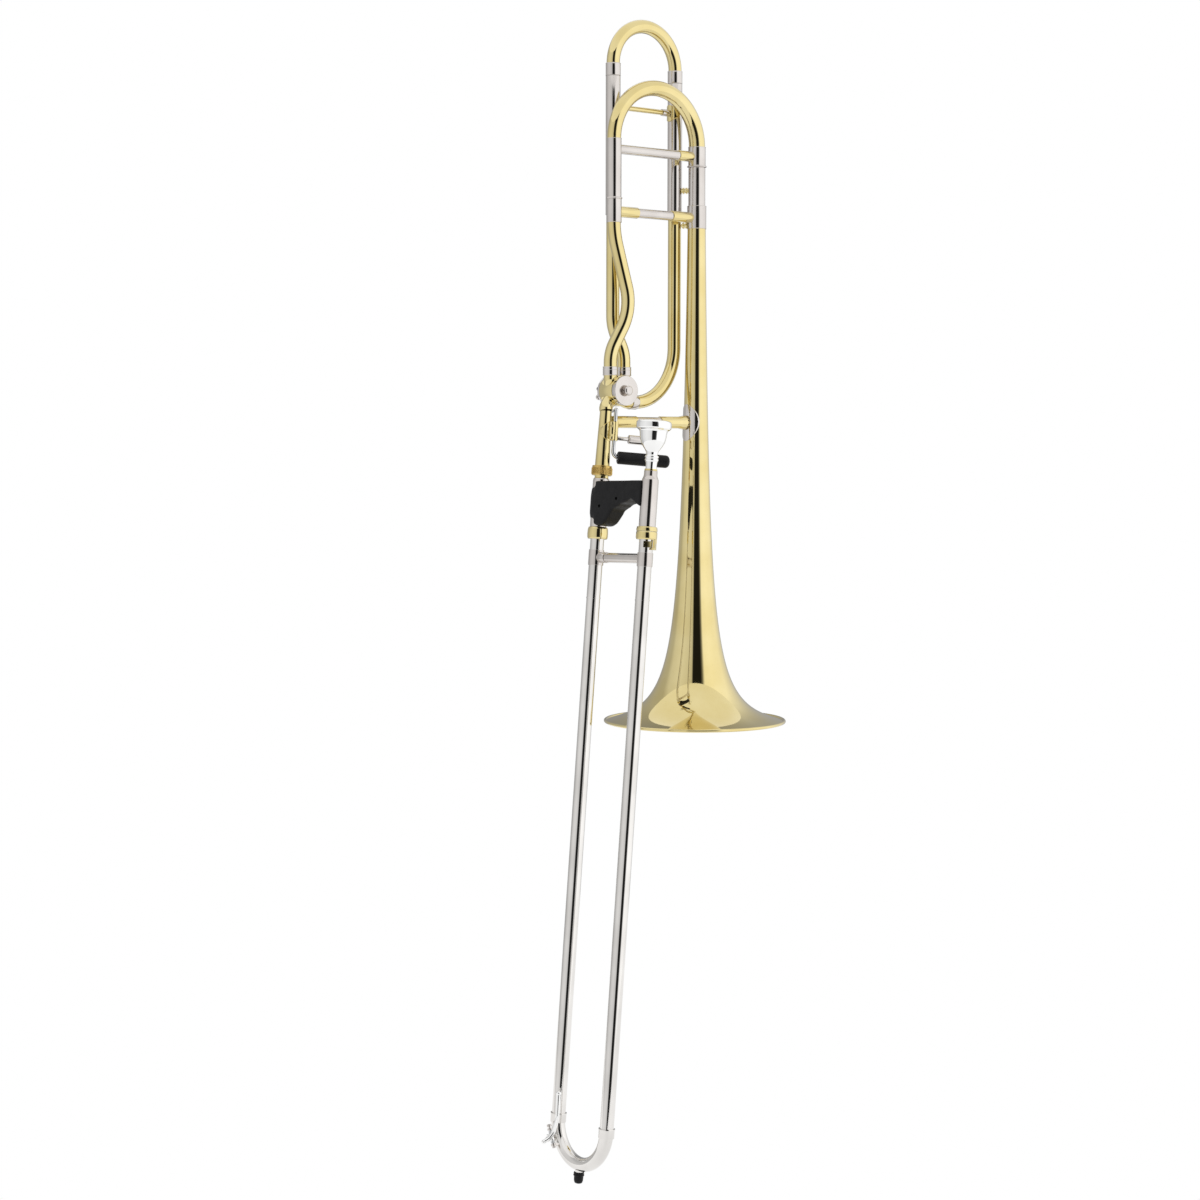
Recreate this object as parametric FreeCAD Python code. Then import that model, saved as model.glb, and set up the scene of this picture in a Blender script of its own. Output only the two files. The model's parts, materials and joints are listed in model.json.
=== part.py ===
import FreeCAD, Part
import math
import os

# Open-wrap tenor trombone with a thumb valve. Row frame, millimetres: the origin is the centre of
# the bell's mouth, +Z runs up the bell's axis, and the bell, the main tuning slide and the valve's
# main tubes lie near the XZ plane, with the F tubing behind them at +Y. The hand slide has a frame
# of its own, whose Z is the axis of the slide tube under the neckpipe.

V = FreeCAD.Vector
UP = V(0, 0, 1)

# ---- driving dimensions --------------------------------------------------------------------
wall = 0.55              # drawn tube wall
solder = 0.03            # gap left between two soldered tubes
run_fit = 0.05           # radial clearance of every sliding or turning fit

rim_r = 106.0            # bell at its mouth, under the rolled bead
rim_bead = 2.0
flare_start = 15.5       # length scale of the flare at the mouth
flare_power = 0.63
bell_top_z = 592.0
bell_brace_z = 352.5

main_left_x = -124.0     # legs of the main tuning slide; the bell's axis is the right leg
main_low_z = 578.6       # lower ends of the fixed sleeves
main_stop_z = 605.3      # where the moving left leg meets its sleeve
main_bead_z = 650.0      # where the moving right ferrule meets its sleeve
main_top_z = 673.5       # ferrule tops, where the bow starts
upper_brace_z = 662.0
lower_brace_z = 591.4
main_left_r = 7.95       # bow tube at its small end
main_right_r = 9.5       # bow tube at its large end

f_left_x = -108.8
f_right_x = -16.2
f_y = 21.0
f_low_z = 590.0
f_joint_z = 747.6
f_top_z = 762.0
f_brace_z = 713.0
valve_tube_r = 7.65      # outside radius of the valve's and F tubing

valve = V(-109.5, 12.0, 388.0)
casing_r = 17.5
rotor_r = 15.5
casing_front = 0.5
casing_back = 23.5
port = 12.3              # where each tube's line turns, from the rotor's axis
outlet_y = 9.0           # upper ports, where their ferrules are
f_inlet_y = 15.0
ferrule_low_z = 405.5
ferrule_high_z = 415.5

slide_base = V(-135.0, 7.2, 300.0)
slide_up = V(0.1, 0.02, 1.0)
slide_axis_rise = slide_up.z / slide_up.Length
slide_gap = 88.0         # between the two slide tubes
inner_r = 7.3
stocking_r = 7.45
outer_in_r = 7.5
outer_r = 7.9
barrel_r = 9.5
barrel_in_r = 9.0
slide_end = -743.0       # where the slide bow starts
bow_r = slide_gap / 2

rod_x = 7.5              # trigger rod's axis, beside the neckpipe
rod_y = -9.0
rod_r = 2.3
paddle_s = 12.5
paddle_r = 7.3
paddle_dir = V(0.9, -0.43, 0).normalize()
pin_r = 9.5              # stop arm pin, from the rotor's axis
pin_rest = -45.0         # its angle from straight down while the valve is at rest
link_length = 22.0
stop_angles = (105, 255)      # seats of the two bumpers, on the same scale

os.makedirs("parts", exist_ok=True)
slide_frame = FreeCAD.Placement(slide_base, FreeCAD.Rotation(UP, slide_up))


# ---- helpers -------------------------------------------------------------------------------
def save(name, *shapes, frame=None):
    group = shapes[0] if len(shapes) == 1 else Part.Compound(list(shapes))
    if frame is not None:
        group = group.copy()
        group.Placement = frame.multiply(group.Placement)
    group.exportStep("parts/" + name + ".step")


def rod(start, end, radius):
    along = end - start
    return Part.makeCylinder(radius, along.Length, start, along)


def tube(start, end, outside, inside):
    along = (end - start).normalize()
    return rod(start, end, outside).cut(rod(start - along, end + along, inside))


def ring(outside, inside, low, high, x=0.0, y=0.0):
    return tube(V(x, y, low), V(x, y, high), outside, inside)


def turned(profile, x=0.0, y=0.0):
    """Solid of revolution about Z from (radius, height) corners."""
    corners = [V(radius, 0, height) for radius, height in profile]
    face = Part.Face(Part.makePolygon(corners + corners[:1]))
    solid = face.revolve(V(0, 0, 0), UP, 360)
    solid.translate(V(x, y, 0))
    return solid


def bead(x, y, z, radius, thick):
    return Part.makeTorus(radius, thick, V(x, y, z), UP)


def rounded_path(points, radii):
    """Straight runs joined by arcs tangent to both of their runs."""
    edges = []
    last = points[0]
    for before, corner, after, radius in zip(points, points[1:], points[2:], radii):
        into = (corner - before).normalize()
        out = (after - corner).normalize()
        turn = into.getAngle(out)
        reach = radius * math.tan(turn / 2)
        first = corner - into * reach
        second = corner + out * reach
        inward = (out - into).normalize()
        middle = corner + inward * (radius / math.cos(turn / 2) - radius)
        edges.append(Part.makeLine(last, first))
        edges.append(Part.Arc(first, middle, second).toShape())
        last = second
    edges.append(Part.makeLine(last, points[-1]))
    return Part.Wire(edges)


def half_circle(left, right, apex):
    return Part.Wire([Part.Arc(left, apex, right).toShape()])


def round_edge(solid, centre, radius):
    """Rounds the circular edges whose centre is at a point."""
    chosen = [edge for edge in solid.Edges if edge.Closed and (edge.CenterOfMass - centre).Length < 0.05]
    return solid.makeFillet(radius, chosen)


def circle_at(point, direction, radius):
    return Part.Wire([Part.makeCircle(radius, point, direction)])


def swept(path, radius, end_radius=None):
    first = path.OrderedEdges[0]
    last = path.OrderedEdges[-1]
    sections = [circle_at(first.valueAt(first.FirstParameter), first.tangentAt(first.FirstParameter), radius)]
    if end_radius is not None:
        end = last.LastParameter
        sections.append(circle_at(last.valueAt(end), last.tangentAt(end), end_radius))
    return path.makePipeShell(sections, True, False)


def swept_tube(path, radius, end_radius=None):
    inner_end = None if end_radius is None else end_radius - wall
    return swept(path, radius, end_radius).cut(swept(path, radius - wall, inner_end))


# ---- bell ----------------------------------------------------------------------------------
def bell_radius(height):
    return rim_r * ((height + flare_start) / flare_start) ** -flare_power


def bell_shell(low, high, inner_offset, outer_offset, steps):
    """A band of the bell's wall between two heights."""
    reach = [low + (high - low) * (step / steps) ** 2 for step in range(steps + 1)]
    outer = [V(bell_radius(height) + outer_offset, 0, height) for height in reach]
    inner = [V(bell_radius(height) + inner_offset, 0, height) for height in reach]
    sides = []
    for points in (outer, inner):
        curve = Part.BSplineCurve()
        curve.interpolate(points)
        sides.append(curve.toShape())
    top = Part.makeLine(outer[-1], inner[-1])
    bottom = Part.makeLine(outer[0], inner[0])
    face = Part.Face(Part.Wire(Part.__sortEdges__([sides[0], top, sides[1], bottom])))
    return face.revolve(V(0, 0, 0), UP, 360)


def build_bell():
    body = bell_shell(0, bell_top_z, -0.6, 0, 20)
    save("bell", body.fuse(bead(0, 0, 0, rim_r, rim_bead)))
    patch = bell_shell(320, 380, 0.05, 0.95, 4)
    stamp = Part.makeCylinder(21.5, 30, V(-30, 0, 0), V(1, 0, 0))
    squeeze = FreeCAD.Matrix()
    squeeze.scale(1, 0.62, 1)
    stamp = stamp.transformGeometry(squeeze)
    stamp.translate(V(0, 0, bell_brace_z))
    save("bell_saddle", patch.common(stamp))


def bell_brace_line():
    start = slide_frame.multVec(V(0, 2.5, (bell_brace_z - slide_base.z) / slide_axis_rise))
    return start, V(0, 0, bell_brace_z)


def build_bell_brace():
    height = bell_brace_z
    start, end = bell_brace_line()
    along = (end - start).normalize()

    def at(distance):
        return start + along * distance

    neck = rod(slide_frame.multVec(V(0, 0, 0)), slide_frame.multVec(V(0, 0, 80)), 7.35)
    bell_clear = Part.makeCylinder(bell_radius(height) + 1.35, 60, V(0, 0, height - 30))
    left = rod(at(5), at(44), 6.9).cut(neck).cut(rod(at(26), at(50), 5.95))
    right = rod(at(78), at(122), 6.9)
    flare = Part.makeCone(6.9, 8.4, 8, at(105), along)
    right = right.fuse(flare).cut(bell_clear).cut(rod(at(70), at(90), 5.95))
    save("bell_brace_rod", rod(at(26.1), at(89.9), 5.9))
    return [left, right]


# ---- main tuning slide ---------------------------------------------------------------------
def build_main_fixed():
    x = main_left_x
    sleeve = ring(8.65, 7.05 + solder, main_low_z, main_stop_z - 0.1, x)
    leg = ring(7.05, 6.4, main_low_z + 6, main_top_z - 8, x)
    sleeve = sleeve.cut(rod(V(x, 0, 570), V(x, 0, main_low_z + 6), 7.7))
    collar = ring(11.2, 9.9 + solder, main_low_z, main_stop_z)
    collar = collar.cut(rod(V(0, 0, 570), V(0, 0, bell_top_z + 1), bell_radius(main_low_z) + 0.1))
    save("main_fixed_tubes", sleeve, collar, leg, ring(9.9, 9.1 + run_fit, 595, main_bead_z - 1.2))


def cross_brace(height, left_clear, right_clear, radius, socket_radius, sockets):
    """Rod between the two main legs, with a socket over each stretch that has one."""
    legs = rod(V(main_left_x, 0, height - 20), V(main_left_x, 0, height + 20), left_clear)
    legs = legs.fuse(rod(V(0, 0, height - 20), V(0, 0, height + 20), right_clear))
    whole = rod(V(main_left_x, 0, height), V(0, 0, height), radius).cut(legs)
    made = []
    for start, end in sockets:
        cover = tube(V(start, 0, height), V(end, 0, height), socket_radius, radius + solder)
        made.append(cover.cut(legs))
    return whole, made


def build_main_braces():
    left = main_left_x
    fixed, sockets = cross_brace(lower_brace_z, 8.7, 11.25, 5.3, 6.15, [(left, -90.5), (-39, 0)])
    save("lower_brace_rod", fixed)
    save("fixed_brace_sockets", *sockets, *build_bell_brace())
    moving, socket = cross_brace(upper_brace_z, 8.45, 10.25, 5.3, 6.0, [(-29, 0)])
    save("upper_brace_rod", moving)
    save("upper_brace_socket", *socket)


def build_main_moving():
    x = main_left_x
    leg = ring(8.4, 7.05 + run_fit, main_stop_z, main_top_z - 6, x)
    leg = leg.fuse(ring(8.4, main_left_r + solder, main_top_z - 6, main_top_z, x))
    leg = leg.fuse(ring(9.1, 8.2, main_stop_z, main_stop_z + 1.8, x))
    ferrule = ring(10.2, 9.1 + solder, main_bead_z, main_top_z - 6.1)
    ferrule = ferrule.fuse(ring(10.2, main_right_r + solder, main_top_z - 6.1, main_top_z))
    save("main_right_ferrule", ferrule.fuse(ring(11.0, 10.0, main_bead_z, main_bead_z + 1.8)))
    save("main_moving_legs", leg, ring(9.1, 8.5, 597, main_top_z - 6.2))
    centre = V(x / 2, 0, main_top_z)
    apex = centre + V(0, 0, -x / 2)
    path = half_circle(V(x, 0, main_top_z), V(0, 0, main_top_z), apex)
    bow = swept_tube(path, main_left_r, main_right_r)
    bow = bow.fuse(ring(main_left_r, main_left_r - wall, main_top_z - 5.9, main_top_z, x))
    bow = bow.fuse(ring(main_right_r, main_right_r - wall, main_top_z - 5.9, main_top_z))
    save("main_tuning_bow", bow)


# ---- F tubing ------------------------------------------------------------------------------
def build_f_slide():
    legs = (f_left_x, f_right_x)
    sleeves = []
    for x in legs:
        sleeve = ring(8.5, 7.65 + run_fit, f_low_z + 6, f_joint_z - 0.3, x, f_y)
        sleeves.append(sleeve.fuse(ring(8.5, valve_tube_r + solder, f_low_z, f_low_z + 6, x, f_y)))
    save("f_outer_sleeves", *sleeves)
    ferrules = [ring(8.6, valve_tube_r + solder, f_joint_z, f_top_z, x, f_y) for x in legs]
    inner = [ring(7.65, 7.1, f_low_z + 12, f_joint_z + 4, x, f_y) for x in legs]
    save("f_moving_legs", *ferrules, *inner)
    left, right = [V(x, f_y, f_top_z) for x in legs]
    middle = (left + right) * 0.5
    bow = swept_tube(half_circle(left, right, middle + V(0, 0, (right - left).Length / 2)), valve_tube_r)
    for x in legs:
        bow = bow.fuse(ring(valve_tube_r, valve_tube_r - wall, f_joint_z + 4.2, f_top_z, x, f_y))
    save("f_tuning_bow", bow)
    build_f_braces(left, right)


def build_f_braces(left, right):
    z = f_brace_z
    sleeves = [rod(V(side.x, f_y, z - 20), V(side.x, f_y, z + 20), 8.55) for side in (left, right)]
    clear = sleeves[0].fuse(sleeves[1])
    bar = rod(V(f_left_x + 11, f_y, z), V(f_right_x - 12, f_y, z), 2.9)
    socket_left = rod(V(f_left_x, f_y, z), V(f_left_x + 14, f_y, z), 3.9)
    socket_right = rod(V(f_right_x - 20, f_y, z), V(f_right_x - 9.6, f_y, z), 3.9)
    bores = rod(V(f_left_x + 10.9, f_y, z), V(f_right_x - 11.9, f_y, z), 2.9 + solder)
    save("f_brace_sockets", socket_left.cut(clear).cut(bores), socket_right.cut(clear).cut(bores))
    foot = ring(9.4, 8.55, z - 9.5, z + 9.5, f_right_x, f_y)
    stamp = Part.makeCylinder(9.5, 24, V(f_right_x - 24, f_y, z), V(1, 0, 0))
    save("f_brace", bar, foot.common(stamp).cut(rod(V(-60, f_y, z), V(0, f_y, z), 3.95)))
    spools = []
    for height, gap in ((623.5, 9.95), (583.0, 11.25)):
        start = V(f_right_x, f_y, height)
        end = V(0, 0, height)
        along = (end - start).normalize()
        stub = rod(start, end, 2.2)
        middle = start + along * 12.8
        for offset in (-3.0, 0.6, 4.0):
            stub = stub.fuse(rod(middle + along * offset, middle + along * (offset + 1.8), 3.6))
        stub = stub.cut(rod(V(f_right_x, f_y, height - 9), V(f_right_x, f_y, height + 9), 8.55))
        spools.append(stub.cut(rod(V(0, 0, height - 9), V(0, 0, height + 9), gap)))
    save("f_spool_braces", *spools)


# ---- valve ---------------------------------------------------------------------------------
def valve_point(x, z, y=None):
    return V(valve.x + x, valve.y if y is None else y, valve.z + z)


def valve_drum(radius, front, back):
    return Part.makeCylinder(radius, back - front, V(valve.x, front, valve.z), V(0, 1, 0))


def build_valve_tubes():
    """Tubes from the fixed slide sleeves down to the valve, and the knuckles that they meet."""
    low = ferrule_low_z + 1
    outlet = [V(main_left_x, 0, main_low_z + 5.8), V(main_left_x, 0, 566), V(-99.5, -1.5, 482),
              valve_point(-port, 432 - valve.z, outlet_y), valve_point(-port, low - valve.z, outlet_y)]
    save("valve_outlet_tube", swept_tube(rounded_path(outlet, [100, 66, 50]), valve_tube_r))
    f_left = [V(f_left_x, f_y, f_low_z + 5.8), V(f_left_x, f_y, 462),
              valve_point(port, 432 - valve.z, f_inlet_y), valve_point(port, low - valve.z, f_inlet_y)]
    save("f_left_tube", swept_tube(rounded_path(f_left, [60, 50]), valve_tube_r))
    turn = valve_point(port, -port)
    corner = V(f_right_x, f_y, valve.z - port)
    along = (corner - turn).normalize()
    f_right = [V(f_right_x, f_y, f_low_z + 5.8), corner, turn + along * 10.7]
    save("f_right_tube", swept_tube(rounded_path(f_right, [65]), valve_tube_r))

    root = port - 2.4
    knuckles = []
    ends = [
        (valve_point(-root, root), valve_point(-port, port, outlet_y),
         valve_point(-port, low - 0.1 - valve.z, outlet_y)),
        (valve_point(root, root), valve_point(port, port, f_inlet_y),
         valve_point(port, low - 0.1 - valve.z, f_inlet_y)),
        (valve_point(root, -root), turn, turn + along * 10.6),
        (valve_point(-root, -root), valve_point(-18.6, -18.6, 9.5), neck_top()),
    ]
    drum = valve_drum(casing_r, -2, 28)
    for start, corner, end in ends:
        knuckles.append(swept_tube(rounded_path([start, corner, end], [7.7]), valve_tube_r).cut(drum))
    save("valve_knuckles", *knuckles)
    ferrules = []
    for side, y in ((-port, outlet_y), (port, f_inlet_y)):
        foot = valve_point(side, low - 1 - valve.z, y)
        head = valve_point(side, ferrule_high_z - valve.z, y)
        ferrules.append(tube(foot, head, 8.6, valve_tube_r + solder))
    ferrules.append(tube(turn + along * 6.2, turn + along * 16.2, 8.6, valve_tube_r + solder))
    save("valve_ferrules", *ferrules)


def port_bore(x_sign, z_sign, start, end):
    direction = V(x_sign, 0, z_sign).normalize()
    return rod(valve + direction * start, valve + direction * end, 6.6)


def build_valve():
    casing = valve_drum(casing_r, casing_front, casing_back).cut(valve_drum(rotor_r + run_fit, -5, 30))
    for x_sign, z_sign in ((-1, -1), (-1, 1), (1, -1), (1, 1)):
        casing = casing.cut(port_bore(x_sign, z_sign, 8, 22))
    save("valve_casing", casing)
    cap = valve_drum(17.2, -5.5, casing_front - 0.02)
    cap = round_edge(cap, V(valve.x, -5.5, valve.z), 0.8)
    save("valve_cap", cap.cut(valve_drum(3.4, -6, -3)).cut(valve_drum(14.2, -3.0, 1)))
    knob = valve_drum(2.8, -8.25, -3.02).fuse(valve_drum(3.35, -5.4, -3.02))
    for groove in range(2):
        start = -7.9 + groove * 1.3
        knob = knob.fuse(valve_drum(3.3, start, start + 0.6))
    head = valve_drum(4.7, -11.0, -8.2)
    head = round_edge(head, V(valve.x, -11.0, valve.z), 1.1)
    save("valve_cap_knob", knob.fuse(head))
    plate = valve_drum(17.5, casing_back + 0.02, 26.6).cut(valve_drum(4.0 + run_fit, 20, 30))
    plate = plate.fuse(stop_plate())
    save("valve_bearing_plate", plate)
    rotor = valve_drum(rotor_r, casing_front + 0.3, casing_back - 0.3).fuse(valve_drum(4.0, 20, 29.9))
    for side in (-1, 1):
        passage = Part.makeTorus(rotor_r, 6.6, V(valve.x + side * rotor_r * math.sqrt(2), valve.y, valve.z),
                                 V(0, 1, 0))
        rotor = rotor.cut(passage)
    save("valve_rotor", rotor)
    build_valve_action()


def stop_pin(angle, length=pin_r):
    """Point of the stop arm at an angle from straight down, in the valve's plane."""
    turn = math.radians(angle)
    return V(valve.x + length * math.sin(turn), 0, valve.z - length * math.cos(turn))


def stop_plate():
    """Half-round plate behind the bearing plate, with a seat for each rubber bumper."""
    plate = valve_drum(16.0, 26.5, 28.4).cut(valve_drum(6.5, 20, 30))
    plate = plate.common(Part.makeBox(40, 10, 40, V(valve.x - 20, 24, valve.z - 1)))
    for angle in stop_angles:
        seat = stop_pin(angle, 10.4)
        plate = plate.fuse(rod(V(seat.x, 28, seat.z), V(seat.x, 29.6, seat.z), 3.0))
    return plate


def build_valve_action():
    hub = valve_drum(5.0, 30, 34)
    pin = stop_pin(pin_rest)
    arm = Part.makeBox(6.4, 3.0, pin_r + 2, V(-3.2, 30.5, -pin_r - 2))
    arm.rotate(V(0, 0, 0), V(0, 1, 0), -pin_rest)
    arm.translate(V(valve.x, 0, valve.z))
    post = rod(V(pin.x, 30.5, pin.z), V(pin.x, 39.5, pin.z), 1.4)
    lug = Part.makeBox(5.0, 3.0, 12.5, V(-2.5, 30.5, 0))
    lug.rotate(V(0, 0, 0), V(0, 1, 0), -pin_rest)
    lug.translate(V(valve.x, 0, valve.z))
    save("stop_arm", hub.fuse(arm).fuse(lug).fuse(post))
    screw = valve_drum(3.9, 34.05, 38).fuse(valve_drum(3.0, 38, 46))
    screw = round_edge(screw, V(valve.x, 46.0, valve.z), 1.6)
    save("stop_arm_screw", screw.cut(Part.makeBox(1.0, 2.0, 12, V(valve.x - 0.5, 45, valve.z - 6))))
    seats = [stop_pin(angle, 10.4) for angle in stop_angles]
    save("stop_bumpers", *[rod(V(seat.x, 29.65, seat.z), V(seat.x, 34.5, seat.z), 2.3) for seat in seats])
    near = V(pin.x, 37.3, pin.z)
    far = near + V(link_length, 0, 0)
    link = rod(near + V(2.5, 0, 0), far - V(5.8, 0, 0), 1.5)
    half = V(0, 1.6, 0)
    link = link.fuse(rod(near - half, near + half, 3.2)).fuse(rod(far - half, far + half, 6.6))
    link = link.cut(rod(near - half * 2, near + half * 2, 1.4 + run_fit))
    save("valve_link", link.cut(rod(far - half * 2, far + half * 2, 5.0)))


# ---- neckpipe, nut and trigger -------------------------------------------------------------
def neck_top():
    return slide_frame.multVec(V(0, 0, 65.5))


def build_neckpipe():
    outer = turned([(0, 0.9), (8.5, 0.9), (8.4, 6), (6.9, 62), (6.9, 65), (0, 65)])
    bore = turned([(0, -1), (7.7, -1), (7.7, 6), (6.3, 62), (6.3, 67), (0, 67)])
    save("neckpipe", outer.cut(bore), frame=slide_frame)
    nut = ring(12.1, 8.6, -9.0, 0.8)
    nut = nut.fuse(ring(11.3, 8.6, 0.8, 2.0))
    for step in range(36):
        turn = math.radians(step * 10)
        groove = Part.makeCylinder(0.42, 7.4, V(12.25 * math.cos(turn), 12.25 * math.sin(turn), -7.8))
        nut = nut.cut(groove)
    save("slide_nut", nut, frame=slide_frame)


def build_trigger_bracket():
    low, high = 31.5, 53.5
    barrel = ring(4.0, rod_r + run_fit, low, high, rod_x, rod_y)
    block = Part.makeCylinder(3.2, high - low - 2, V(2.2, -10.9, low + 1))
    web = Part.makeBox(7.0, 4.5, high - low - 4, V(0.5, -11.0, low + 2))
    saddle = ring(8.8, 7.0, low - 4, high + 3)
    wrap = Part.makeCylinder(8.4, 40, V(0, 0, 0), V(0.05, -1, 0))
    stretch = FreeCAD.Matrix()
    stretch.scale(1, 1, 1.25)
    wrap = wrap.transformGeometry(stretch)
    wrap.translate(V(0.5, 0, 41.5))
    body = block.fuse(web).fuse(saddle.common(wrap))
    body = body.cut(turned([(0, 20), (8.1, 20), (7.02, 60), (0, 60)]))
    brace = rod(*bell_brace_line(), 7.0)
    brace.Placement = slide_frame.inverse().multiply(brace.Placement)
    body = body.cut(brace)
    body = body.cut(Part.makeCylinder(3.9, 60, V(rod_x, rod_y, 10)))
    face = V(-0.41, -0.91, 0).normalize()
    sinks = []
    screws = []
    for height in (37.0, 47.6):
        centre = V(1.2, -10.6, height)
        sinks.append(rod(centre - face * 1.0, centre + face * 6, 1.65))
        screws.append(rod(centre - face * 0.95, centre + face * 3.0, 1.6))
    for sink in sinks:
        body = body.cut(sink)
    save("trigger_bracket", body.fuse(barrel), frame=slide_frame)
    save("trigger_bracket_screws", *screws, frame=slide_frame)
    start = V(rod_x, rod_y, 34.5)
    side = V(0.93, -0.36, 0).normalize()
    thin = rod(start + side * 4.1, start + side * 22, 2.2)
    thick = rod(start + side * 17, start + side * 50, 5.1)
    for distance in (17, 50):
        thick = round_edge(thick, start + side * distance, 1.2)
    thick = thick.cut(rod(start, start + side * 22.1, 2.2 + solder))
    save("thumb_rest", thin, thick, frame=slide_frame)


def build_trigger():
    bottom = V(rod_x, rod_y, paddle_s)
    top = V(rod_x, rod_y, 67.0)
    heel = V(32.9, 42.5, 67.0)
    riser = V(32.9, 42.5, 84.4)
    path = rounded_path([bottom + paddle_dir * 60, bottom, top], [7.0])
    arm = swept(rounded_path([top, heel, riser], [4.0]), 1.6)
    bar = swept(path, rod_r).fuse(Part.makeSphere(rod_r + 0.15, top)).fuse(arm)
    stud = rod(riser + V(0, 1.5, 0), riser - V(0, 17.5, 0), 1.4)
    save("trigger_rod", bar.fuse(stud).fuse(Part.makeSphere(1.9, riser)), frame=slide_frame)
    paddle = rod(bottom + paddle_dir * 5.5, bottom + paddle_dir * 66.5, paddle_r)
    paddle = round_edge(paddle, bottom + paddle_dir * 66.5, 4.5)
    paddle = round_edge(paddle, bottom + paddle_dir * 5.5, 1.4)
    save("thumb_paddle", paddle.cut(swept(path, rod_r + solder)), frame=slide_frame)


# ---- inner half of the hand slide ----------------------------------------------------------
def build_barrels():
    w = -slide_gap
    collar = turned([(7.33, -2.0), (8.5, -2.0), (8.5, -9.5), (7.9, -9.5), (7.9, -14.9), (7.33, -14.9)])
    save("slide_collar", collar, frame=slide_frame)
    left = turned([(7.93, -12.0), (8.6, -12.3), (9.2, -13.3), (barrel_r, -15.5), (barrel_r, -68),
                   (barrel_in_r, -68), (barrel_in_r, -18), (7.33, -18), (7.33, -15.0), (7.93, -15.0)])
    right = turned([(6.4, -5.0), (7.5, -5.0), (7.5, -10.0), (8.1, -12.0), (9.2, -14.6), (barrel_r, -16.5),
                    (barrel_r, -67.5), (barrel_in_r, -67.5), (barrel_in_r, -19), (7.33, -19),
                    (7.33, -14), (6.7, -14), (6.4, -11)], 0, w)
    save("cork_barrels", left, right, frame=slide_frame)
    receiver = turned([(6.4, -2.9), (7.2, -2.9), (7.2, -4.95), (6.4, -4.95)], 0, w)
    end_ring = [(8.25, -82), (10.9, -82), (11.7, -80), (11.9, -76), (11.6, -71), (10.9, -68.8),
                (9.55, -68.05), (8.25, -68.05)]
    stop_ring = turned([(8.25, -72.6), (11.7, -72.6), (11.9, -70.8), (11.2, -67.6), (8.25, -67.6)], 0, w)
    save("barrel_rings", turned(end_ring), stop_ring, receiver, frame=slide_frame)
    felts = [ring(8.9, inner_r + 0.05, -23.5, -19.1, 0, y) for y in (0, w)]
    save("barrel_felts", *felts, frame=slide_frame)
    tube_profile = [(6.95, -14.95), (inner_r, -14.95), (inner_r, -668), (stocking_r, -672),
                    (stocking_r, -736), (6.95, -736)]
    save("inner_tubes", *[turned(tube_profile, 0, y) for y in (0, w)], frame=slide_frame)


def build_lock_ring():
    w = -slide_gap
    low, high = -81.8, -73.0
    ring_body = turned([(8.25, low), (11.1, low), (11.9, low + 1.6), (11.9, high - 1.2), (11.4, high),
                        (8.25, high)])
    hook = Part.makeBox(2.4, 5.0, 12.2, V(9.2, -2.5, -93.0))
    toe = Part.makeBox(2.4, 3.6, 1.9, V(9.2, -5.9, -93.0))
    hook = hook.fuse(toe)
    hook.rotate(V(0, 0, 0), UP, -60)
    body = ring_body.fuse(hook)
    body.translate(V(0, w, 0))
    save("slide_lock_ring", body, frame=slide_frame)


def grip_outline():
    """Side shape of the rubber grip between the barrels: w runs from barrel to barrel."""
    lower = [(79.5, -43.5), (74.0, -40.0), (68.0, -36.5), (62.0, -38.5), (55.0, -41.5), (49.5, -42.0),
             (45.0, -45.0), (38.5, -47.5), (35.0, -49.5), (30.0, -56.0), (24.0, -62.0), (17.0, -65.6),
             (10.0, -66.0), (4.0, -62.0)]
    curve = Part.BSplineCurve()
    curve.interpolate([V(0, -w, s) for w, s in lower])
    start, end = V(0, -lower[0][0], lower[0][1]), V(0, -lower[-1][0], lower[-1][1])
    top_right, top_left = V(0, -79.5, -12.0), V(0, -3.5, -16.5)
    edges = [curve.toShape(), Part.makeLine(end, top_left), Part.makeLine(top_left, top_right),
             Part.makeLine(top_right, start)]
    return Part.Face(Part.Wire(edges))


def build_grip():
    half = 10.5
    block = grip_outline().extrude(V(2 * half, 0, 0))
    block.translate(V(-half, 0, 0))
    long_edges = [edge for edge in block.Edges if edge.BoundBox.XLength < 0.1 and edge.Length > 40]
    block = block.makeFillet(5.0, long_edges)
    grip = block
    for y in (0, -slide_gap):
        grip = grip.cut(Part.makeCylinder(barrel_r + solder, 100, V(0, y, -110)))
    brace = rod(V(0, -barrel_r - 0.2, -27), V(0, -slide_gap + barrel_r + 0.2, -27), 4.0)
    grip = grip.cut(rod(V(0, 0, -27), V(0, -slide_gap, -27), 4.0 + solder))
    screws = []
    for w, s in ((13.0, -45.0), (43.0, -36.5)):
        for side in (-1, 1):
            centre = V(side * half, -w, s)
            grip = grip.cut(rod(centre, centre - V(side * 5, 0, 0), 1.9))
            screws.append(rod(centre - V(side * 1.6, 0, 0), centre - V(side * 4.9, 0, 0), 1.8))
    save("hand_grip", grip, frame=slide_frame)
    save("grip_screws", *screws, frame=slide_frame)
    save("inner_brace", brace, frame=slide_frame)


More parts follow.
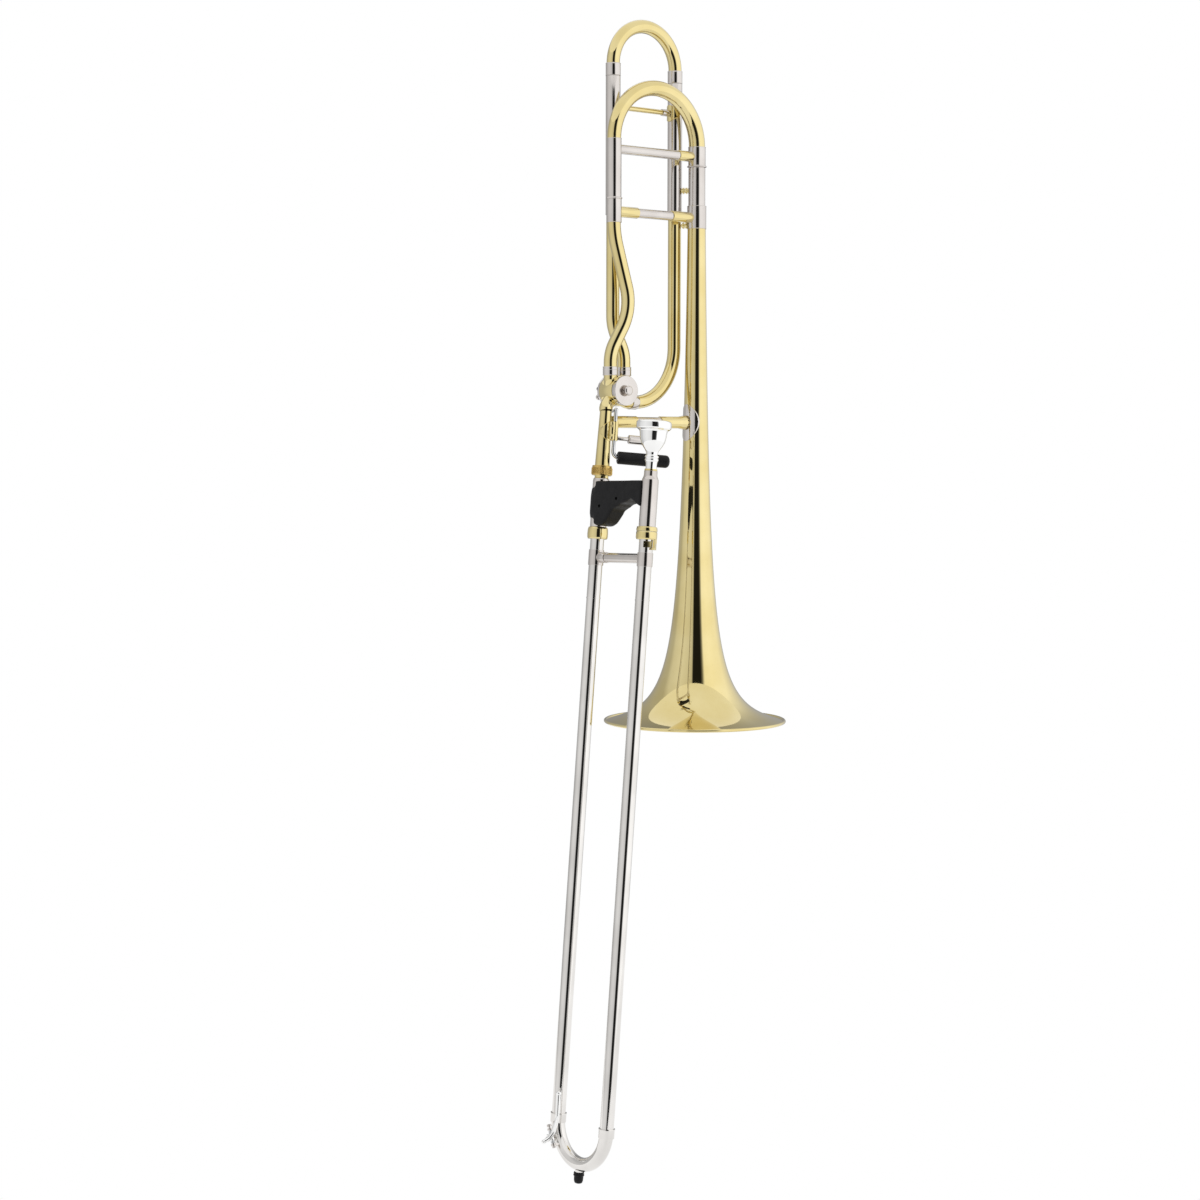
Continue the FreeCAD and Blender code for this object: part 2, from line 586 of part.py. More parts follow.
def build_mouthpiece():
    outline = [(12.9, 50.2), (14.2, 51.0), (16.4, 51.2), (18.6, 50.6), (19.9, 48.8), (20.0, 44.5),
               (19.6, 42.6), (18.2, 41.4), (16.6, 40.6), (15.6, 39.2), (15.2, 36.5), (14.9, 33.0),
               (14.0, 28.5), (12.0, 24.0), (9.2, 20.0), (7.2, 17.0), (6.4, 13.6), (6.6, 12.2), (7.5, 11.6),
               (7.7, 10.6), (7.5, 9.6), (6.9, 9.0), (7.6, 8.0), (7.6, 6.6), (6.8, 5.6), (6.3, 3.0),
               (6.2, -2.8), (5.6, -32.0)]
    inside = [(4.9, -32.0), (3.4, 14.0), (3.4, 22.0), (5.6, 26.0), (8.6, 30.0), (11.2, 36.0), (12.5, 46.0)]
    save("mouthpiece", turned(outline + inside, 0, -slide_gap), frame=slide_frame)


# ---- outer half of the hand slide ----------------------------------------------------------
def build_outer_slide():
    w = -slide_gap
    pair = [ring(outer_r, outer_in_r, slide_end, -24.5, 0, y) for y in (0, w)]
    save("outer_tubes", *pair, frame=slide_frame)
    sleeves = []
    for y, top in ((0, -94.5), (w, -96.5)):
        sleeves.append(ring(outer_r + 0.85, outer_r + solder, -112, top, 0, y))
    height = -103.0
    brace_y = [-outer_r - 0.9, w + outer_r + 0.9]
    socket = tube(V(0, brace_y[0], height), V(0, brace_y[0] - 11, height), 6.3, 5.5 + solder)
    sleeves[0] = sleeves[0].fuse(socket)
    cutter = [Part.makeCylinder(outer_r + 0.88, 60, V(0, y, -140)) for y in (0, w)]
    bar = rod(V(0, 0, height), V(0, w, height), 5.5).cut(cutter[0]).cut(cutter[1])
    save("hand_brace", bar, frame=slide_frame)
    save("hand_brace_sleeves", *sleeves, frame=slide_frame)
    bands = [ring(outer_r + 0.35, outer_r + solder, -150.2, -148.8, 0, y) for y in (0, w)]
    ferrules = []
    for y in (0, w):
        ferrules.append(turned([(outer_r + solder, -748.5), (9.0, -748.5), (9.0, -739.6), (9.3, -739.2),
                                (9.3, -738.0), (outer_r + solder, -738.0)], 0, y))
    lug = Part.makeBox(3.0, 7.0, 5.4, V(outer_r - 0.4, -3.5, -89.9))
    lug = lug.cut(Part.makeCylinder(outer_r + solder, 30, V(0, 0, -100)))
    lug = lug.fuse(Part.makeBox(0.9, 9.5, 7.0, V(outer_r + 0.05, -4.75, -90.7)))
    lug = lug.cut(Part.makeCylinder(outer_r + solder, 30, V(0, 0, -100)))
    lug.rotate(V(0, 0, 0), UP, -118)
    lug.translate(V(0, w, 0))
    save("slide_lock_lug", lug, frame=slide_frame)
    return bands, ferrules


def bow_point(angle, out=0.0):
    """Point of the slide bow's centre line, an angle on from its left end, moved outwards."""
    turn = math.radians(angle)
    reach = bow_r + out
    return V(0, -bow_r + reach * math.cos(turn), slide_end - reach * math.sin(turn))


def build_slide_bow(bands, ferrules):
    path = half_circle(V(0, 0, slide_end), V(0, -slide_gap, slide_end), bow_point(90))
    bow = swept(path, outer_r).cut(swept(path, outer_r - 0.7))
    ferrules = [ferrule.cut(swept(path, outer_r + 0.02)) for ferrule in ferrules]
    save("outer_slide_rings", *bands, *ferrules, frame=slide_frame)
    hole = bow_point(28)
    out = pad_direction()
    bow = bow.cut(rod(hole, hole + out * 12, 1.6))
    middle = -bow_r
    low = slide_end - bow_r - outer_r
    stub = rod(V(0, middle, low + 3), V(0, middle, low - 1.1), 4.6)
    stub = stub.fuse(rod(V(0, middle, low - 1.1), V(0, middle, low - 8), 2.6))
    save("slide_bow", bow.fuse(stub.cut(swept(path, outer_r - 0.3))), frame=slide_frame)
    bumper = turned([(2.65, low - 1.2), (5.6, low - 1.2), (6.1, low - 2.1), (5.6, low - 3.1),
                     (6.2, low - 3.9), (6.2, low - 4.9), (5.4, low - 5.7), (5.2, low - 10.5), (4.4, low - 12.9),
                     (3.0, low - 13.8), (0, low - 13.8), (0, low - 8.1), (2.65, low - 8.1)], 0, middle)
    save("rubber_bumper", bumper, frame=slide_frame)


# ---- water key -----------------------------------------------------------------------------
def pad_direction():
    """From the bow's centre line out to the water key's pad."""
    outward = (bow_point(28, 1.0) - bow_point(28)).normalize()
    return (V(-0.86, 0, 0) + outward * 0.5).normalize()


def build_water_key():
    angle = 28
    centre = bow_point(angle)
    along = (bow_point(angle + 1) - bow_point(angle - 1)).normalize()
    pivot = centre + V(-13.4, 0, 0) + V(0, -2.0, 0)
    path = half_circle(V(0, 0, slide_end), V(0, -slide_gap, slide_end), bow_point(90))
    solid_bow = swept(path, outer_r + 0.02)
    posts = []
    for offset in (-9.0, 9.0):
        top = pivot + along * offset
        post = rod(top - along * 1.1, top + along * 1.1, 3.0)
        web = Part.makeBox(9.0, 4.6, 2.2, V(0, -2.3, -1.1))
        web.Placement = FreeCAD.Placement(top, FreeCAD.Rotation(UP, along))
        post = post.fuse(web).cut(rod(top - along * 3, top + along * 3, 1.1 + run_fit))
        posts.append(post.cut(solid_bow))
    pin = rod(pivot - along * 12.0, pivot + along * 12.0, 1.1)
    heads = rod(pivot - along * 14.5, pivot - along * 11.9, 2.6)
    heads = heads.fuse(rod(pivot + along * 10.6, pivot + along * 12.6, 2.0))
    save("water_key_pivot", pin.fuse(heads), frame=slide_frame)

    out = pad_direction()
    nipple = tube(centre + out * 6.0, centre + out * 11.0, 3.2, 1.6)
    save("water_key_saddle", *posts, nipple.cut(solid_bow), frame=slide_frame)
    pad_low = centre + out * 11.35
    pad = rod(pad_low, pad_low + out * 2.2, 3.4)
    save("water_key_pad", pad, frame=slide_frame)
    cup = rod(pad_low + out * 1.0, pad_low + out * 3.6, 4.3)
    cup = cup.cut(rod(pad_low - out, pad_low + out * 2.22, 3.43))
    hub = tube(pivot - along * 3.6, pivot + along * 3.6, 2.5, 1.1 + run_fit)
    cup_top = pad_low + out * 3.4
    knee = pivot + V(-1.0, -2.2, 5.0)
    end = V(-12.2, -13.0, -713)
    points = [cup_top, pivot + V(-2.6, 0.5, -0.6), knee, V(-12.0, -13.4, -741), end]
    arm = swept(rounded_path(points, [3.0, 3.6, 14]), 2.2)
    tip = Part.makeSphere(2.8, end)
    lever = hub.fuse(arm).fuse(cup).fuse(tip)
    lever = lever.cut(rod(pivot - along * 6, pivot + along * 6, 1.1 + run_fit))
    lever = lever.cut(rod(pad_low - out, pad_low + out * 2.22, 3.43))
    save("water_key_lever", lever, frame=slide_frame)
    coils = []
    for start in (-7.3, 4.1):
        helix = Part.makeHelix(1.05, 3.2, 2.05)
        wire_start = helix.Edges[0].valueAt(helix.Edges[0].FirstParameter)
        section = Part.Wire([Part.makeCircle(0.42, wire_start, V(0, 1, 0.16))])
        coil = helix.makePipeShell([section], True, True)
        coil.Placement = FreeCAD.Placement(pivot + along * start, FreeCAD.Rotation(UP, along))
        coils.append(coil)
    save("water_key_spring", *coils, frame=slide_frame)


build_bell()
build_main_fixed()
build_main_braces()
build_main_moving()
build_f_slide()
build_valve_tubes()
build_valve()
build_neckpipe()
build_trigger_bracket()
build_trigger()
build_barrels()
build_lock_ring()
build_grip()
build_mouthpiece()
build_slide_bow(*build_outer_slide())
build_water_key()
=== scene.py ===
import json
import math
import bmesh
import bpy
from mathutils import Matrix, Quaternion, Vector


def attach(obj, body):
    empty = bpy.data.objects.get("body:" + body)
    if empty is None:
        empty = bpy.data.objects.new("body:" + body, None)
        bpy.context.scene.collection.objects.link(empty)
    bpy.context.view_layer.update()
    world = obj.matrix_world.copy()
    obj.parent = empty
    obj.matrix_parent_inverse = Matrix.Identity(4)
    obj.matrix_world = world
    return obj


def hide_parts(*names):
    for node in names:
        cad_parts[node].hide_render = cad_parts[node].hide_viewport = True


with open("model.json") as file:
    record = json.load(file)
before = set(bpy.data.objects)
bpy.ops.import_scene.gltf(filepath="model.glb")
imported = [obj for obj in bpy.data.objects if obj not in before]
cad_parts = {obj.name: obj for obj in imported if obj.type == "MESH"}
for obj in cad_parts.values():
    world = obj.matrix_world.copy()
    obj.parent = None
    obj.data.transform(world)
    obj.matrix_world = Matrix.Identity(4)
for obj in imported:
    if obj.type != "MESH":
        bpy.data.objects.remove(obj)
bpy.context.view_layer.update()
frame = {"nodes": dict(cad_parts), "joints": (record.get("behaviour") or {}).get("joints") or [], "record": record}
print("frame loaded,", len(frame["nodes"]), "parts")

mm = 0.001
joints = {joint["name"]: joint for joint in frame["joints"]}
partSlots = {row["node"]: row["material_slot"] for row in frame["record"]["subparts"]}
bodyNodes = frame["record"]["behaviour"]["bodies"]
partBodies = {node: body for body, nodes in bodyNodes.items() for node in nodes}
slideUp = -Vector(joints["hand_slide"]["axis"]).normalized()
slideBase = Vector(joints["slide_swivel"]["pos_m"])
slideTurn = Vector((0, 0, 1)).rotation_difference(slideUp)
# the hand slide's own frame: z up the slide, on the axis of its first tube
toSlide = Matrix.Translation(slideBase) @ slideTurn.to_matrix().to_4x4()
slideGap = 88 * mm
secondTube = toSlide @ Matrix.Translation((0, -slideGap, 0))


def addObject(name, mesh):
    piece = bpy.data.objects.new(name, mesh)
    bpy.context.scene.collection.objects.link(piece)
    return piece


def bake(piece):
    # the evaluated shape becomes a plain mesh and its modifiers go
    depsgraph = bpy.context.evaluated_depsgraph_get()
    depsgraph.update()
    done = bpy.data.meshes.new_from_object(piece.evaluated_get(depsgraph))
    piece.modifiers.clear()
    piece.data = done
    return piece


def shadeSmooth(mesh, limit=32):
    for face in mesh.polygons:
        face.use_smooth = True
    work = bmesh.new()
    work.from_mesh(mesh)
    for edge in work.edges:
        edge.smooth = len(edge.link_faces) != 2 or edge.calc_face_angle(0) < math.radians(limit)
    work.to_mesh(mesh)
    work.free()


def meshFrom(name, points, faces, place=Matrix.Identity(4)):
    mesh = bpy.data.meshes.new(name)
    mesh.from_pydata([place @ Vector(point) for point in points], [], faces)
    work = bmesh.new()
    work.from_mesh(mesh)
    bmesh.ops.remove_doubles(work, verts=work.verts, dist=1e-7)
    bmesh.ops.recalc_face_normals(work, faces=work.faces)
    work.to_mesh(mesh)
    work.free()
    return mesh


def lathe(name, outline, place, segments=64, closed=True):
    # outline is (radius, height) pairs in millimetres, turned about z
    points = []
    faces = []
    count = len(outline)
    for radius, height in outline:
        for step in range(segments):
            turn = math.tau * step / segments
            points.append((radius * mm * math.cos(turn), radius * mm * math.sin(turn), height * mm))
    rows = count if closed else count - 1
    for row in range(rows):
        nextRow = (row + 1) % count
        for step in range(segments):
            after = (step + 1) % segments
            faces.append((row * segments + step, row * segments + after,
                          nextRow * segments + after, nextRow * segments + step))
    return meshFrom(name, points, faces, place)


def joinMeshes(name, meshes):
    work = bmesh.new()
    for mesh in meshes:
        work.from_mesh(mesh)
    joined = bpy.data.meshes.new(name)
    work.to_mesh(joined)
    work.free()
    return joined


def smoothOutline(outline, depth=2):
    # rounds an outline by cutting its corners, leaving the ends alone
    for _ in range(depth):
        cut = [outline[0]]
        for (r0, h0), (r1, h1) in zip(outline, outline[1:]):
            cut.append((r0 * 0.75 + r1 * 0.25, h0 * 0.75 + h1 * 0.25))
            cut.append((r0 * 0.25 + r1 * 0.75, h0 * 0.25 + h1 * 0.75))
        cut.append(outline[-1])
        outline = cut
    return outline


def sweep(name, path, radii, segments, wall):
    # a tube with an open bore along a list of points, its section kept from twisting
    tangents = []
    for index, point in enumerate(path):
        before = path[max(index - 1, 0)]
        after = path[min(index + 1, len(path) - 1)]
        tangents.append((after - before).normalized())
    side = tangents[0].orthogonal().normalized()
    points = []
    frames = []
    for index, tangent in enumerate(tangents):
        side = (side - tangent * side.dot(tangent)).normalized()
        frames.append((side.copy(), tangent.cross(side)))
    rows = list(range(len(path)))
    outside = [(index, radii[index]) for index in rows]
    inside = [(index, radii[index] - wall) for index in reversed(rows)]
    loops = outside + inside
    for index, radius in loops:
        across, up = frames[index]
        for step in range(segments):
            turn = math.tau * step / segments
            out = across * math.cos(turn) + up * math.sin(turn)
            points.append(path[index] + out * radius)
    faces = []
    for row in range(len(loops)):
        nextRow = (row + 1) % len(loops)
        for step in range(segments):
            after = (step + 1) % segments
            faces.append((row * segments + step, row * segments + after,
                          nextRow * segments + after, nextRow * segments + step))
    return meshFrom(name, points, faces)


def roundedPath(corners, radii, arcStep=math.radians(3)):
    # straight runs joined by arcs tangent to both, as points
    points = [corners[0]]
    for before, corner, after, radius in zip(corners, corners[1:], corners[2:], radii):
        into = (corner - before).normalized()
        out = (after - corner).normalized()
        turn = into.angle(out)
        reach = radius * math.tan(turn / 2)
        start = corner - into * reach
        inward = (out - into).normalized()
        centre = corner + inward * (radius / math.cos(turn / 2))
        axis = into.cross(out).normalized()
        steps = max(3, int(turn / arcStep))
        for step in range(steps + 1):
            swing = Quaternion(axis, turn * step / steps)
            points.append(centre + swing @ (start - centre))
    points.append(corners[-1])
    return points


def newMaterial(name):
    material = bpy.data.materials.new(name)
    material.use_nodes = True
    tree = material.node_tree
    tree.nodes.clear()
    output = tree.nodes.new("ShaderNodeOutputMaterial")
    shader = tree.nodes.new("ShaderNodeBsdfPrincipled")
    tree.links.new(shader.outputs["BSDF"], output.inputs["Surface"])
    return material, tree, shader


def objectPattern(tree, scale, stretch=(1, 1, 1), detail=4):
    # noise in the object's own coordinates, larger scale meaning finer
    place = tree.nodes.new("ShaderNodeTexCoord")
    mapping = tree.nodes.new("ShaderNodeMapping")
    mapping.inputs["Scale"].default_value = stretch
    pattern = tree.nodes.new("ShaderNodeTexNoise")
    pattern.inputs["Scale"].default_value = scale
    pattern.inputs["Detail"].default_value = detail
    tree.links.new(place.outputs["Object"], mapping.inputs["Vector"])
    tree.links.new(mapping.outputs["Vector"], pattern.inputs["Vector"])
    return pattern.outputs[0]


colourSpread = (0.35, 0.65)   # part of the noise's range that the colours span
valueSpread = (0.3, 0.7)


def colourBetween(tree, factor, low, high):
    ramp = tree.nodes.new("ShaderNodeValToRGB")
    for element, position, colour in zip(ramp.color_ramp.elements, colourSpread, (low, high)):
        element.position = position
        element.color = (*colour, 1)
    tree.links.new(factor, ramp.inputs["Fac"])
    return ramp.outputs["Color"]


def valueBetween(tree, factor, low, high):
    ranged = tree.nodes.new("ShaderNodeMapRange")
    ranged.inputs["From Min"].default_value = valueSpread[0]
    ranged.inputs["From Max"].default_value = valueSpread[1]
    ranged.inputs["To Min"].default_value = low
    ranged.inputs["To Max"].default_value = high
    tree.links.new(factor, ranged.inputs["Value"])
    return ranged.outputs["Result"]


def bumpFrom(tree, shader, height, strength, distance):
    bump = tree.nodes.new("ShaderNodeBump")
    bump.inputs["Strength"].default_value = strength
    bump.inputs["Distance"].default_value = distance
    tree.links.new(height, bump.inputs["Height"])
    tree.links.new(bump.outputs["Normal"], shader.inputs["Normal"])


metalLooks = {
    "lacquered_brass": {"low": (0.71, 0.585, 0.26), "high": (0.77, 0.655, 0.33), "rough": (0.03, 0.055),
                        "grain": (1, 1, 0.08), "bump": 0.012, "coat": 0.35},
    "satin_brass": {"low": (0.62, 0.42, 0.13), "high": (0.72, 0.53, 0.20), "rough": (0.16, 0.30),
                    "grain": (1, 1, 0.3), "bump": 0.2, "coat": 0.0},
    "nickel_silver": {"low": (0.60, 0.56, 0.53), "high": (0.68, 0.645, 0.615), "rough": (0.04, 0.085),
                      "grain": (1, 1, 0.06), "bump": 0.02, "coat": 0.0},
    "plated_slide": {"low": (0.70, 0.68, 0.655), "high": (0.79, 0.77, 0.745), "rough": (0.03, 0.055),
                     "grain": (1, 1, 0.04), "bump": 0.01, "coat": 0.0},
    "silver_plate": {"low": (0.88, 0.88, 0.87), "high": (0.94, 0.94, 0.93), "rough": (0.02, 0.05),
                     "grain": (1, 1, 1), "bump": 0.03, "coat": 0.0},
    "polished_steel": {"low": (0.62, 0.63, 0.64), "high": (0.72, 0.73, 0.74), "rough": (0.06, 0.13),
                       "grain": (1, 1, 0.2), "bump": 0.06, "coat": 0.0},
}
# noise scales shared by the metals, and the clear coat over the brass
metalNoise = {"tarnish": 22, "wipe": 260, "polish": 1500, "depth": 0.02 * mm}
clearCoat = {"rough": 0.03, "ior": 1.5}


def makeMetal(name, look):
    material, tree, shader = newMaterial(name)
    tarnish = objectPattern(tree, metalNoise["tarnish"], detail=3)
    tree.links.new(colourBetween(tree, tarnish, look["low"], look["high"]), shader.inputs["Base Color"])
    wipe = objectPattern(tree, metalNoise["wipe"], look["grain"], detail=5)
    tree.links.new(valueBetween(tree, wipe, *look["rough"]), shader.inputs["Roughness"])
    polish = objectPattern(tree, metalNoise["polish"], look["grain"], detail=3)
    bumpFrom(tree, shader, polish, look["bump"], metalNoise["depth"])
    shader.inputs["Metallic"].default_value = 1
    shader.inputs["Coat Weight"].default_value = look["coat"]
    shader.inputs["Coat Roughness"].default_value = clearCoat["rough"]
    shader.inputs["Coat IOR"].default_value = clearCoat["ior"]
    return material


rubberLook = {"low": (0.004, 0.004, 0.005), "high": (0.009, 0.009, 0.010), "rough": (0.40, 0.52), "dust": 140,
              "wear": 420, "grain": 2600, "bump": 0.15, "depth": 0.03 * mm, "ior": 1.5, "specular": 0.2}


def makeRubber():
    look = rubberLook
    material, tree, shader = newMaterial("black_rubber")
    dust = objectPattern(tree, look["dust"], detail=6)
    tree.links.new(colourBetween(tree, dust, look["low"], look["high"]), shader.inputs["Base Color"])
    wear = objectPattern(tree, look["wear"])
    tree.links.new(valueBetween(tree, wear, *look["rough"]), shader.inputs["Roughness"])
    grain = objectPattern(tree, look["grain"], detail=2)
    bumpFrom(tree, shader, grain, look["bump"], look["depth"])
    shader.inputs["IOR"].default_value = look["ior"]
    shader.inputs["Specular IOR Level"].default_value = look["specular"]
    return material


feltLook = {"low": (0.48, 0.44, 0.36), "high": (0.76, 0.72, 0.64), "fibres": 1800, "stretch": (1, 1, 0.4),
            "bump": 0.8, "depth": 0.2 * mm, "rough": 0.95, "sheen": 0.4}


def makeFelt():
    look = feltLook
    material, tree, shader = newMaterial("felt")
    fibres = objectPattern(tree, look["fibres"], look["stretch"], detail=8)
    tree.links.new(colourBetween(tree, fibres, look["low"], look["high"]), shader.inputs["Base Color"])
    bumpFrom(tree, shader, fibres, look["bump"], look["depth"])
    shader.inputs["Roughness"].default_value = look["rough"]
    shader.inputs["Sheen Weight"].default_value = look["sheen"]
    return material


finishes = {name: makeMetal(name, look) for name, look in metalLooks.items()}
finishes["black_rubber"] = makeRubber()
finishes["felt"] = makeFelt()
print("finishes made")


# parts whose finish differs from their slot's
ownFinish = {"outer_tubes": "plated_slide", "slide_bow": "plated_slide", "inner_tubes": "plated_slide",
             "outer_slide_rings": "plated_slide", "water_key_lever": "silver_plate",
             "trigger_bracket_screws": "lacquered_brass"}


def partFinish(name):
    return ownFinish.get(name, partSlots[name])


def addPiece(name, mesh, body, slotName, finish=None, replaces=(), limit=32):
    mesh.materials.clear()
    mesh.materials.append(finishes[finish or slotName])
    shadeSmooth(mesh, limit)
    piece = addObject(name, mesh)
    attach(piece, body)
    if replaces:
        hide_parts(*replaces)
    return piece


def newTree(name, inputs):
    # a geometry node tree with one named input for each size
    tree = bpy.data.node_groups.new(name, "GeometryNodeTree")
    tree.interface.new_socket("Geometry", in_out="OUTPUT", socket_type="NodeSocketGeometry")
    kinds = {float: "NodeSocketFloat", int: "NodeSocketInt"}
    for label, value in inputs.items():
        socket = tree.interface.new_socket(label, in_out="INPUT", socket_type=kinds[type(value)])
        socket.default_value = value
    tree.interface.new_socket("Material", in_out="INPUT", socket_type="NodeSocketMaterial")
    start = tree.nodes.new("NodeGroupInput")
    return tree, start


def maths(tree, operation, *values):
    node = tree.nodes.new("ShaderNodeMath")
    node.operation = operation
    for index, value in enumerate(values):
        if isinstance(value, (int, float)):
            node.inputs[index].default_value = value
        else:
            tree.links.new(value, node.inputs[index])
    return node.outputs[0]


def closeTree(tree, start, geometry):
    realize = tree.nodes.new("GeometryNodeRealizeInstances")
    paint = tree.nodes.new("GeometryNodeSetMaterial")
    end = tree.nodes.new("NodeGroupOutput")
    tree.links.new(geometry, realize.inputs[0])
    tree.links.new(realize.outputs[0], paint.inputs["Geometry"])
    tree.links.new(start.outputs["Material"], paint.inputs["Material"])
    tree.links.new(paint.outputs[0], end.inputs[0])


def runTree(name, tree, values, finish):
    piece = addObject(name, bpy.data.meshes.new(name))
    modifier = piece.modifiers.new(name, "NODES")
    modifier.node_group = tree
    for item in tree.interface.items_tree:
        if item.item_type != "SOCKET" or item.in_out != "INPUT":
            continue
        if item.name in values:
            modifier[item.identifier] = values[item.name]
        elif item.name == "Material":
            modifier[item.identifier] = finishes[finish]
    mesh = bake(piece).data
    bpy.data.objects.remove(piece)
    return mesh


def gridPoints(tree, start, columns, rows):
    # a unit sheet: u runs 0 to 1 round the part and v runs 0 to 1 along it
    grid = tree.nodes.new("GeometryNodeMeshGrid")
    grid.inputs["Size X"].default_value = 1
    grid.inputs["Size Y"].default_value = 1
    tree.links.new(columns, grid.inputs["Vertices X"])
    tree.links.new(rows, grid.inputs["Vertices Y"])
    place = tree.nodes.new("GeometryNodeInputPosition")
    split = tree.nodes.new("ShaderNodeSeparateXYZ")
    tree.links.new(place.outputs[0], split.inputs[0])
    u = maths(tree, "ADD", split.outputs[0], 0.5)
    v = maths(tree, "ADD", split.outputs[1], 0.5)
    return grid.outputs["Mesh"], u, v


def roundPlace(tree, mesh, angle, radius, height):
    # sets each point from its angle, radius and height
    combine = tree.nodes.new("ShaderNodeCombineXYZ")
    tree.links.new(maths(tree, "MULTIPLY", radius, maths(tree, "COSINE", angle)), combine.inputs[0])
    tree.links.new(maths(tree, "MULTIPLY", radius, maths(tree, "SINE", angle)), combine.inputs[1])
    tree.links.new(height, combine.inputs[2])
    move = tree.nodes.new("GeometryNodeSetPosition")
    tree.links.new(mesh, move.inputs["Geometry"])
    tree.links.new(combine.outputs[0], move.inputs["Position"])
    return move.outputs[0]


# the bell's radius is rim * ((height + flare) / flare) ^ -power
rimRadius = 106 * mm
bellSizes = {"Rim Radius": rimRadius, "Flare": 15.5 * mm, "Power": 0.63, "Height": 592 * mm,
             "Crowding": 2.4, "Around": 161, "Along": 150}
bellWall = 0.6 * mm
rimWire = {"Radius": rimRadius, "Thickness": 1.9 * mm, "Around": 192, "Section": 20}
seam = 0.001 * mm   # points closer than this are one


def bellTree():
    tree, start = newTree("bellFlare", bellSizes)
    sizes = start.outputs
    mesh, u, v = gridPoints(tree, start, sizes["Around"], sizes["Along"])
    height = maths(tree, "MULTIPLY", sizes["Height"], maths(tree, "POWER", v, sizes["Crowding"]))
    ratio = maths(tree, "DIVIDE", maths(tree, "ADD", height, sizes["Flare"]), sizes["Flare"])
    shrink = maths(tree, "POWER", ratio, maths(tree, "MULTIPLY", sizes["Power"], -1.0))
    radius = maths(tree, "MULTIPLY", sizes["Rim Radius"], shrink)
    angle = maths(tree, "MULTIPLY", u, math.tau)
    shell = roundPlace(tree, mesh, angle, radius, height)
    merge = tree.nodes.new("GeometryNodeMergeByDistance")
    merge.inputs["Distance"].default_value = seam
    tree.links.new(shell, merge.inputs["Geometry"])
    closeTree(tree, start, merge.outputs[0])
    return tree


def wireTree():
    tree, start = newTree("roundWire", rimWire)
    circle = tree.nodes.new("GeometryNodeCurvePrimitiveCircle")
    section = tree.nodes.new("GeometryNodeCurvePrimitiveCircle")
    sweepNode = tree.nodes.new("GeometryNodeCurveToMesh")
    tree.links.new(start.outputs["Radius"], circle.inputs["Radius"])
    tree.links.new(start.outputs["Around"], circle.inputs["Resolution"])
    tree.links.new(start.outputs["Thickness"], section.inputs["Radius"])
    tree.links.new(start.outputs["Section"], section.inputs["Resolution"])
    tree.links.new(circle.outputs[0], sweepNode.inputs["Curve"])
    tree.links.new(section.outputs[0], sweepNode.inputs["Profile Curve"])
    closeTree(tree, start, sweepNode.outputs[0])
    return tree


def buildBell():
    shell = runTree("bellShell", bellTree(), bellSizes, "lacquered_brass")
    wall = addObject("bellWall", shell)
    solid = wall.modifiers.new("wall", "SOLIDIFY")
    solid.thickness = bellWall
    solid.offset = -1
    mesh = bake(wall).data
    bpy.data.objects.remove(wall)
    work = bmesh.new()
    work.from_mesh(mesh)
    bmesh.ops.recalc_face_normals(work, faces=work.faces)
    work.to_mesh(mesh)
    work.free()
    addPiece("bell_flare", mesh, "bell_section", "lacquered_brass", replaces=["bell"])
    rim = runTree("bellRim", wireTree(), rimWire, "lacquered_brass")
    addPiece("bell_rim", rim, "bell_section", "lacquered_brass")


buildBell()
print("bell done")


# slide nut: a turned body with ribs round it, its outline as radius and height in millimetres
nutBody = [(8.6, -9.0), (11.0, -9.0), (11.55, -8.4), (11.55, -0.2), (11.3, 0.4), (11.3, 1.7),
           (11.0, 2.0), (8.6, 2.0)]
nutRibs = {"Count": 44, "Ring Radius": 11.6 * mm, "Rib Radius": 0.5 * mm, "Rib Height": 7.2 * mm}
nutRibsMiddle = -4.2 * mm
ribSides = 12


def ribTree():
    tree, start = newTree("ribRing", nutRibs)
    ring = tree.nodes.new("GeometryNodeMeshCircle")
    rib = tree.nodes.new("GeometryNodeMeshCylinder")
    rib.inputs["Vertices"].default_value = ribSides
    spread = tree.nodes.new("GeometryNodeInstanceOnPoints")
    tree.links.new(start.outputs["Count"], ring.inputs["Vertices"])
    tree.links.new(start.outputs["Ring Radius"], ring.inputs["Radius"])
    tree.links.new(start.outputs["Rib Radius"], rib.inputs["Radius"])
    tree.links.new(start.outputs["Rib Height"], rib.inputs["Depth"])
    tree.links.new(ring.outputs[0], spread.inputs["Points"])
    tree.links.new(rib.outputs[0], spread.inputs["Instance"])
    closeTree(tree, start, spread.outputs[0])
    return tree


def buildNut():
    body = lathe("nutBody", nutBody, Matrix.Identity(4), 96)
    ribs = runTree("nutRibs", ribTree(), nutRibs, "satin_brass")
    ribs.transform(Matrix.Translation((0, 0, nutRibsMiddle)))
    whole = joinMeshes("slideNut", [body, ribs])
    whole.transform(toSlide)
    addPiece("slide_nut_ribbed", whole, "nut", "lacquered_brass", "satin_brass", replaces=["slide_nut"])


# water key's spring: two coils wound round the pivot, one towards each end of it
coilSizes = {"Turns": 3.4, "Coil Radius": 2.05 * mm, "Length": 3.1 * mm, "Wire": 0.4 * mm, "Steps": 30,
             "Section": 12}
coilStarts = (-7.25 * mm, 4.15 * mm)


